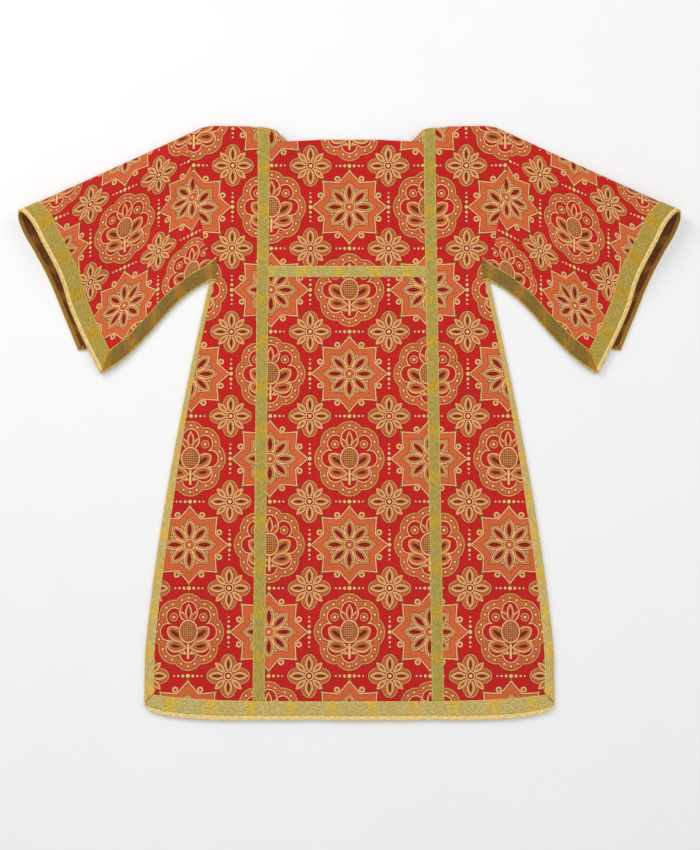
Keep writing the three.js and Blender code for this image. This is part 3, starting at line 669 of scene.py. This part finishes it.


def woven_tape(name, width, ground, patch, spacing, lattice=0.0, plain_edge=0.0, turned_in=""):
    """Rayon tape woven on a narrow loom: olive thread with a soft yellow patch at every spacing, a pale
    selvedge along both edges, a slanting lattice of raised thread, a plain strip along one edge, and
    on the part that is turned in, a painted highlight along its rolled edge, a painted shadow line
    beside it and painted shade that darkens to the facing's brown further in."""
    material = new_material(name)
    uv = node("UVMap", uv_map="UVMap")
    millimetres = node("VectorMath", uv, (1000.0, 1000.0, 0.0), operation="MULTIPLY")
    along, across, _ = node("SeparateXYZ", millimetres).node.outputs
    drift = node("TexNoise", node("Mapping", uv, Scale=(38.0, 90.0, 1.0)), Scale=1.0, Detail=2.0)
    apart = node("Mapping", uv, Location=(3.1, 1.7, 0.0), Scale=(90.0, 130.0, 1.0))
    dye = node("TexNoise", apart, Scale=1.0, Detail=2.0)
    slanting = node("Mapping", uv, Rotation=(0.0, 0.0, 0.42), Scale=(130.0, 620.0, 1.0))
    fibre = node("TexNoise", slanting, Scale=1.0, Detail=2.0)
    grit = node("TexNoise", uv, Scale=520.0, Detail=1.0)

    # The yellow patches, uneven in place and strength, on a ground that drifts between two olives
    uneven = node("MULTIPLY", node("SUBTRACT", drift, 0.5), 34.0)
    to_patch = node("ABSOLUTE", node("ADD", node("PINGPONG", along, spacing / 2), uneven))
    in_patch = node("SUBTRACT", 1.0, node("DIVIDE", to_patch, 17.0), use_clamp=True)
    in_patch = node("MULTIPLY", in_patch, node("MULTIPLY_ADD", dye, 2.4, -0.1), use_clamp=True)
    greener = node("MULTIPLY_ADD", dye, 3.2, -1.1, use_clamp=True)
    olive = node("HueSaturation", Hue=0.52, Saturation=0.88, Value=0.98, Color=linear(ground))
    colour = node("Mix", data_type="RGBA", Factor=greener, A=linear(ground), B=olive)
    colour = node("Mix", data_type="RGBA", Factor=in_patch, A=colour, B=linear(patch))

    # The lattice, broken up where its threads dive under
    edge = node("MINIMUM", across, node("SUBTRACT", width, across))
    slope = node("ADD", along, node("MULTIPLY", node("SUBTRACT", fibre, 0.5), 3.0))
    rising = node("SINE", node("MULTIPLY", node("ADD", slope, across), math.pi / 6.4))
    falling = node("SINE", node("MULTIPLY", node("SUBTRACT", slope, across), math.pi / 6.4))
    nearest = node("MINIMUM", node("ABSOLUTE", rising), node("ABSOLUTE", falling))
    raised_thread = node("SUBTRACT", 1.0, node("DIVIDE", nearest, 0.34), use_clamp=True)
    raised_thread = node("MULTIPLY", raised_thread, node("GREATER_THAN", across, plain_edge + 1.0))
    showing = node("MULTIPLY_ADD", grit, 3.0 * lattice, -0.7 * lattice)
    raised_thread = node("MULTIPLY", raised_thread, showing, use_clamp=True)
    raised_thread = node("MULTIPLY", raised_thread, node("SUBTRACT", 1.0, node("MULTIPLY", in_patch, 0.8)))
    colour = node("Mix", data_type="RGBA", Factor=raised_thread, A=colour, B=linear("efe0a8"))
    if plain_edge:
        strip = node("LESS_THAN", across, plain_edge)
        strip = node("MULTIPLY", strip, 0.85)
        colour = node("Mix", data_type="RGBA", Factor=strip, A=colour, B=linear("f4d68e"))
        stitches = node("LESS_THAN", node("ABSOLUTE", node("SUBTRACT", across, plain_edge)), 0.7)
        to_stitch = node("SINE", node("MULTIPLY", along, 2 * math.pi / 3.8))
        stitches = node("MULTIPLY", stitches, node("GREATER_THAN", to_stitch, -0.4))
        stitches = node("MULTIPLY", stitches, 0.7)
        colour = node("Mix", data_type="RGBA", Factor=stitches, A=colour, B=linear("7d662b"))
    selvedge = node("MULTIPLY", node("LESS_THAN", edge, 1.4), 0.65)
    colour = node("Mix", data_type="RGBA", Factor=selvedge, A=colour, B=linear("dfc06c"))
    if turned_in:
        # Painted light on the turned-in part: its colour is the tape darkened as painted shade, deepening
        # further in to the facing's browner painted shade. The pale band round the fold is a painted
        # highlight, and the dark line beside it on the outer face is a painted shadow where the roll meets
        # the flat tape.
        deeper = node("MULTIPLY_ADD", across, -0.5, -4.2, use_clamp=True)
        dark = node("Mix", data_type="RGBA", Factor=in_patch, A=linear(FACING_SHADE[0]), B=linear(FACING_SHADE[1]))
        inside = node("Mix", data_type="RGBA", Factor=deeper, A=linear(turned_in), B=dark)
        past = node("LESS_THAN", across, -2.6)
        rolled = node("LESS_THAN", node("ABSOLUTE", node("ADD", across, 0.4)), 1.9)
        rolled = node("MULTIPLY", rolled, 0.85)
        crease_shadow = node("LESS_THAN", node("ABSOLUTE", node("SUBTRACT", across, 3.2)), 0.9)
        crease_shadow = node("MULTIPLY", crease_shadow, node("MULTIPLY_ADD", dye, 2.0, -0.5, use_clamp=True))
        crease_shadow = node("MULTIPLY", crease_shadow, 0.6)
        colour = node("Mix", data_type="RGBA", Factor=past, A=colour, B=inside)
        colour = node("Mix", data_type="RGBA", Factor=rolled, A=colour, B=linear("dcb05c"))
        colour = node("Mix", data_type="RGBA", Factor=crease_shadow, A=colour, B=linear("80641c"))

    # Fine slanting ribs, drawn as coarse as they need to show, and threads that catch more or less light
    warp = node("SINE", node("MULTIPLY", across, 2 * math.pi / 1.1))
    speck = node("MULTIPLY", node("SUBTRACT", grit, 0.5), 0.9)
    tone = node("ADD", node("MULTIPLY", node("SUBTRACT", fibre, 0.5), 1.5), speck)
    tone = node("ADD", tone, node("MULTIPLY", warp, 0.05))
    twill = node("SINE", node("MULTIPLY", node("ADD", along, across), 2 * math.pi / 4.4))
    tone = node("ADD", tone, node("MULTIPLY", twill, 0.06))
    shade = node("HueSaturation", Color=colour, Value=node("ADD", tone, 1.0))
    relief = node("ADD", node("MULTIPLY", raised_thread, 0.35), node("MULTIPLY", fibre, 0.4))
    relief = node("ADD", relief, node("MULTIPLY", warp, 0.08))
    bump = node("Bump", Height=relief, Distance=0.001, Strength=0.7)
    thread = node(
        "BsdfPrincipled", Base_Color=shade, Normal=bump, Roughness=0.55,
        Specular_IOR_Level=0.12, Sheen_Weight=0.02, Sheen_Roughness=0.5,
    )
    node("OutputMaterial", Surface=thread)
    return material


CLAVUS = 22
clavus_woven = woven_tape("woven_tape_clavus", CLAVUS, "ae923c", "c09c30", 84.0)
bar_woven = woven_tape("woven_tape_bar", CLAVUS, "baa052", "cbaa42", 67.0)
CLAVUS_LINES = {"left": (152, 162), "right": (-163, -166)}  # x of the middle line at the top and the foot
HEM_INNER = 1086  # upper edge of the hem tape, at the middle of the hem
SHOULDER_JOIN = ARC * GAP / math.pi / SHOULDER_FOLD  # place at which front and back tapes are joined
CLAVUS_FOOT = 1 + (1084.9 - ARMPIT[1]) / (HEM_EDGE - ARMPIT[1])
TAPE_EDGE = 0.2  # how far a tape's edge is rounded off


def sewn_down(offset, half):
    """Height of a tape's middle over its cloth: full along the middle, and drawn down at its edges."""
    return 1.28 + 0.3 * (1 - np.abs(np.clip(offset / half, -1, 1)) ** 5)


def clavus_surface(layer, line):
    def surface(offset, row):
        place = np.where(row < NECK_ZONE, blend(SHOULDER_JOIN, NECK_ZONE, row / NECK_ZONE), row)
        depth = over_fold(-1, np.minimum(place, 1), SHOULDER_FOLD, ARMPIT[1], FRONT_HEIGHT, SETTLE)[0]
        depth = np.where(place > 1, blend(ARMPIT[1], HEM_EDGE, place - 1), depth)
        x = blend(line[0], line[1], depth / HEM_INNER) + layer * offset
        return body_point(layer, x / half_width(depth), place)

    return lambda offset, row: over(surface, offset, row, sewn_down(offset, CLAVUS / 2))


def clavus_threads(offset, row, points):
    return np.stack([points[:, 1], offset + CLAVUS / 2], -1) / 1000


clavus_columns = steps(-CLAVUS / 2, (CLAVUS / 2, 14))
clavus_rows = steps(0, (0.1, 8), (0.3, 14), (1, 44), (CLAVUS_FOOT, 100))
front_pieces = []
back_pieces = []
for side_name, line in CLAVUS_LINES.items():
    for layer, face, group in ((1, "front", front_pieces), (-1, "back", back_pieces)):
        clavus = lay_sheet(
            f"clavus_{face}_{side_name}_tape", clavus_surface(layer, line),
            clavus_columns, clavus_rows, TAPE, clavus_threads, TAPE_EDGE,
        )
        clavus.data.materials.append(clavus_woven)
        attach(clavus, "root")
        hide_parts(f"clavus_{face}_{side_name}")
        group.append(clavus)


BAR_TOP, BAR_FOOT = 274, 295.4
BAR_MIDDLE, BAR_HALF = 284.7, 10.7


def on_flat(layer, x, down, height):
    """A point so far over the front (layer 1) or under the back (-1), where they lie flat."""
    level = FRONT_HEIGHT + lift(x, down) if layer > 0 else BACK_HEIGHT
    return np.stack([x, down, level + layer * height], -1)


def chest_bar_surface(share, down):
    to_edge = CLAVUS / 2 + GAP
    right = blend(*CLAVUS_LINES["right"], down / HEM_INNER) + to_edge
    left = blend(*CLAVUS_LINES["left"], down / HEM_INNER) - to_edge
    return on_flat(1, blend(right, left, share), down, sewn_down(down - BAR_MIDDLE, BAR_HALF))


def bar_threads(share, down, points):
    return np.stack([points[:, 0] + 20, down - BAR_TOP], -1) / 1000


chest_bar = lay_sheet(
    "chest_bar_tape", chest_bar_surface, steps(0, (1, 70)), steps(BAR_TOP, (BAR_FOOT, 14)),
    TAPE, bar_threads, TAPE_EDGE,
)
chest_bar.data.materials.append(bar_woven)
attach(chest_bar, "root")
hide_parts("chest_bar")
front_pieces.append(chest_bar)


# ---- The hem tapes
# Wide woven tape along the front and the back hem, with a slanting lattice of cream thread. It curves
# up with the hem at both ends, where it is mitred with the side tapes.

HEM_TAPE = 34
hem_woven = woven_tape("woven_tape_hem", HEM_TAPE, "bd9f4c", "d2ae40", 74.0, 0.9, 8.5)
hem_reach = straight((0, 358.8), (0.33, 367.3), (0.65, 374.3), (0.84, 373.3), (1, 366.3))


def hem_surface(layer):
    def surface(share, across):
        x = layer * share * hem_reach(across)
        inner = HEM_INNER - 12 * (np.abs(x) / 358) ** 4
        outer = LENGTH - HEM_RISE * (np.abs(x) / RISE_REACH) ** RISE_POWER
        ripple = 0.5 * np.sin(x / 41 + 1) + 0.35 * np.sin(x / 17 + 2)
        down = blend(inner, outer, across) + ripple * across * (1 - (x / 372) ** 2)
        return on_flat(layer, x, down, sewn_down(across * 2 - 1, 1))

    return surface


def hem_threads(share, across, points):
    return np.stack([points[:, 0] + 31, (1 - across) * HEM_TAPE], -1) / 1000


hem_columns = steps(-1, (-0.9, 14), (0.9, 150), (1, 14))
hem_rows = steps(0, (0.84, 16), (1, 5))
for layer, face, group in ((1, "front", front_pieces), (-1, "back", back_pieces)):
    hem = lay_sheet(
        f"hem_{face}_tape", hem_surface(layer), hem_columns, hem_rows, TAPE, hem_threads, TAPE_EDGE
    )
    hem.data.materials.append(hem_woven)
    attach(hem, "root")
    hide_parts(f"hem_tape_{face}")
    group.append(hem)


# ---- The side tapes
# Edge tape folded over the closed side seams and sewn through both cloths. It shows wider on the front
# towards the hem.

EDGE_TAPE = 38
side_woven = woven_tape("woven_tape_side", EDGE_TAPE, "cca95c", "dab44c", 71.0)
side_front = straight((302, 7), (450, 8.2), (590, 9.8), (720, 13.8), (1060, 16.5))
SIDE_TOP = FRONT_HEIGHT + CLOTH / 2 + GAP + TAPE / 2  # middle of the tape's front part
SIDE_FOOT = 1.9858  # place at which its outer edge ends, mitred with the hem tape


def side_surface(round_place, row):
    """round_place runs from the front edge (0) to the fold (1), round it, and from 2 to the back edge (3)."""
    slant = 1.955
    inner = 1.9645
    shorter = np.where(row > slant, blend(slant, inner, (row - slant) / (SIDE_FOOT - slant)), row)
    place = blend(shorter, row, np.clip(np.minimum(round_place, 3 - round_place), 0, 1))
    cloth_edge = body_point(1, 1 - SEAM_JOIN, place)
    x, down = cloth_edge[..., 0], cloth_edge[..., 1]
    front = side_front(down)
    back = EDGE_TAPE - front - SIDE_TOP
    bend = 1.2
    corner = bend - 0.75
    low = TAPE / 2
    first = np.clip((round_place - 1) / 0.4, 0, 1) * math.pi / 2
    last = np.clip((round_place - 1.6) / 0.4, 0, 1) * math.pi / 2
    out = np.where(round_place < 1, blend(-front, -corner, round_place), -corner + bend * np.sin(first))
    out = np.where(round_place > 1.6, -corner + bend * np.cos(last), out)
    out = np.where(round_place > 2, blend(-corner, -back, round_place - 2), out)
    up = np.where(round_place < 1.5, SIDE_TOP - bend * (1 - np.cos(first)), low + bend * (1 - np.sin(last)))
    up = up - 0.2 * np.clip(1 - round_place * 3, 0, 1) ** 2
    return np.stack([x + out, down, up], -1)


def side_threads(round_place, row, points):
    across = np.interp(round_place, (0, 1, 2, 3), (0, 16, 20, EDGE_TAPE))
    return np.stack([points[:, 1], across], -1) / 1000


side_columns = steps(0, (1, 8), (1.4, 5), (1.6, 1), (2, 5), (3, 6))
side_rows = steps(1.0035, (1.955, 110), (SIDE_FOOT, 8))
for side_name, turned in SIDES:
    side_tape = lay_sheet(
        f"side_{side_name}_tape", turned(side_surface), side_columns, side_rows, TAPE, side_threads, TAPE_EDGE
    )
    side_tape.data.materials.append(side_woven)
    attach(side_tape, "root")
    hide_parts(f"side_tape_{side_name}")
    front_pieces.append(side_tape)


# ---- The cuff tapes and facings
# Edge tape round the mouth of each sleeve, turned in over the edge with a rolled fold that has a
# painted highlight, and a tape that faces the inside of the cloth beyond it, browner as painted shade.

# The cuff tape's turned-in part, "97712a", is the tape's olive darkened as painted shade.
cuff_woven = woven_tape("woven_tape_cuff", EDGE_TAPE, "ab8a29", "b99224", 71.0, 0.25, 8.5, "97712a")
TURNED_IN = 11
UNDERARM_TAPE = 30
CUFF_MITRE = 0.88  # place on the cuff from which its tape runs into the mitre with an underarm tape
CUFF_FRONT = 345  # from the top fold down to the front underarm edge, along the cuff


def from_cuff(distance):
    return 1 - distance / FOLD_LENGTH


def from_underarm(layer, along, distance):
    """The place on a sleeve so far up from its front (1) or back (-1) underarm edge."""
    depth = np.where(layer > 0, sleeve_depth[1](along), sleeve_depth[-1](along)) - fold_radius(along)
    return layer * (1 - (1 - ARC) * distance / depth)


def cuff_surface(round_place, row):
    """round_place runs from the tape's inner edge (0) to the cuff's edge (1), round it, and from 2 to
    the end of the turned-in part (3)."""
    inside = np.maximum(EDGE_TAPE * (1 - round_place), 0) + np.maximum(TURNED_IN * (round_place - 2), 0)
    along = from_cuff(inside)
    end = from_underarm(np.sign(row), along, inside * UNDERARM_TAPE / EDGE_TAPE + GAP / 2)
    last = np.clip((np.abs(row) - CUFF_MITRE) / 0.12, 0, 1)
    place = np.where(np.abs(row) > CUFF_MITRE, blend(np.sign(row) * CUFF_MITRE, end, last), row)
    turn = np.clip(round_place - 1, 0, 1) * math.pi
    sewn = 0.22 * np.clip(1 - round_place * 4, 0, 1) ** 2
    rolled = 0.35 * np.exp(-(((round_place - 1.15) / 0.3) ** 2))
    base = over(sleeve_point, along, place, (1.55 + rolled) * np.cos(turn) - sewn)
    beyond = sleeve_point(along, place) - sleeve_point(along - NEARBY, place)
    beyond = beyond / np.linalg.norm(beyond, axis=-1, keepdims=True)
    return base + beyond * (0.9 * np.sin(turn))[..., None]


def cuff_threads(round_place, row, points):
    inside = np.interp(round_place, (0, 1, 2, 3), (EDGE_TAPE, 1, -3, -3 - TURNED_IN))
    return np.stack([row * CUFF_FRONT + 12, inside], -1) / 1000


def facing_surface(along, row):
    return over(sleeve_point, along, row, np.full(np.shape(row), -1.55))


def facing_threads(along, row, points):
    return np.stack([row * CUFF_FRONT + 12, (1 - along) * FOLD_LENGTH], -1) / 1000


cuff_columns = steps(0, (0.9, 10), (1, 4), (2, 10), (3, 6))
cuff_rows = steps(-1, (-CUFF_MITRE, 6), (-0.1, 50), (0.1, 30), (CUFF_MITRE, 80), (1, 6))
facing_columns = steps(from_cuff(EDGE_TAPE), (from_cuff(TURNED_IN + GAP), 10))
# The facing's brown ground and its darker patches are painted shade.
facing_shade_woven = woven_tape("woven_tape_facing_painted_shade", EDGE_TAPE, *FACING_SHADE, 71.0)
for side_name, turned in SIDES:
    cuff = lay_sheet(
        f"cuff_{side_name}_tape", turned(cuff_surface), cuff_columns, cuff_rows, TAPE, cuff_threads, TAPE_EDGE
    )
    cuff.data.materials.append(cuff_woven)
    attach(cuff, "root")
    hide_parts(f"cuff_tape_{side_name}")
    facing = lay_sheet(
        f"cuff_{side_name}_facing", turned(facing_surface), facing_columns, cuff_rows * 0.995,
        TAPE, facing_threads, TAPE_EDGE,
    )
    facing.data.materials.append(facing_shade_woven)
    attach(facing, "root")
    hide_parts(f"cuff_facing_{side_name}")
    sleeve_pieces[side_name] += [cuff, facing]


# ---- The underarm tapes
# Edge tape along both open underarm edges of each sleeve. It runs on over the foot of the armhole seam
# on to the body and ends there in a straight cut.

# Its olive is darker and browner than the other edge tapes': painted shade, where the underarm edges tilt
# away from the light.
underarm_shade_woven = woven_tape("woven_tape_underarm_painted_shade", UNDERARM_TAPE, "83601c", "a2742a", 71.0)
MITRE_START = 60  # from the cuff
BODY_END = 251.0  # x of the straight cut on the body
BODY_END_DOWN = (302, 256)  # the foot and the top of that cut


def underarm_surface(layer):
    """The distance runs from the tape's inner edge (30) to the cloth's edge (0), round it (-1), and on to
    the end of the part turned under (-4)."""

    def surface(along, row):
        distance = -layer * row
        on_sleeve = sleeve_point(np.maximum(along, 0), from_underarm(layer, np.maximum(along, 0), distance))
        level = FRONT_HEIGHT if layer > 0 else BACK_HEIGHT
        end_x, end_height = np.full(np.shape(row), BODY_END), np.full(np.shape(row), level)
        end = np.stack([end_x, blend(*BODY_END_DOWN, distance / UNDERARM_TAPE), end_height], -1)
        on_body = blend(on_sleeve, end, np.clip(-along, 0, 1)[..., None])
        return np.where((along >= 0)[..., None], on_sleeve, on_body)

    def tape(along, row):
        distance = -layer * row
        bound = ease(along, -0.25, 0.02)  # the body's cloth runs on under the tape's end
        turn = np.clip(-distance, 0, 1) * math.pi * bound
        on_cloth = np.maximum(distance, 0) + np.maximum(-distance - 1, 0) * bound
        on_cloth = on_cloth + 0.25 * np.minimum(distance, 0) * (1 - bound)
        slant = from_cuff(MITRE_START)
        mitre = from_cuff(on_cloth * EDGE_TAPE / UNDERARM_TAPE + GAP)
        place = np.where(along > slant, blend(slant, mitre, (along - slant) / (1 - slant)), along)
        raised = sewn_down(np.maximum(distance, 0) - UNDERARM_TAPE / 2, UNDERARM_TAPE / 2)
        base = over(surface, place, -layer * on_cloth, raised * np.cos(turn))
        beyond = surface(place, -layer * on_cloth) - surface(place, -layer * (on_cloth + 0.5))
        beyond = beyond / np.linalg.norm(beyond, axis=-1, keepdims=True)
        return base + beyond * (0.9 * np.sin(turn))[..., None]

    return tape


def underarm_threads(along, row, points):
    return np.stack([along * np.where(along < 0, 30, 290), np.abs(row)], -1) / 1000


underarm_columns = steps(-1, (0, 12), (from_cuff(MITRE_START), 56), (1, 12))
for side_name, turned in SIDES:
    for layer, face in ((1, "front"), (-1, "back")):
        rows = np.sort(-layer * steps(-4.0, (-1.0, 3), (0.0, 8), (UNDERARM_TAPE, 14)))
        tape = lay_sheet(
            f"underarm_{face}_{side_name}_tape", turned(underarm_surface(layer)),
            underarm_columns, rows, TAPE, underarm_threads, TAPE_EDGE,
        )
        tape.data.materials.append(underarm_shade_woven)
        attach(tape, "root")
        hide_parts(f"underarm_tape_{face}_{side_name}")
        sleeve_pieces[side_name].append(tape)
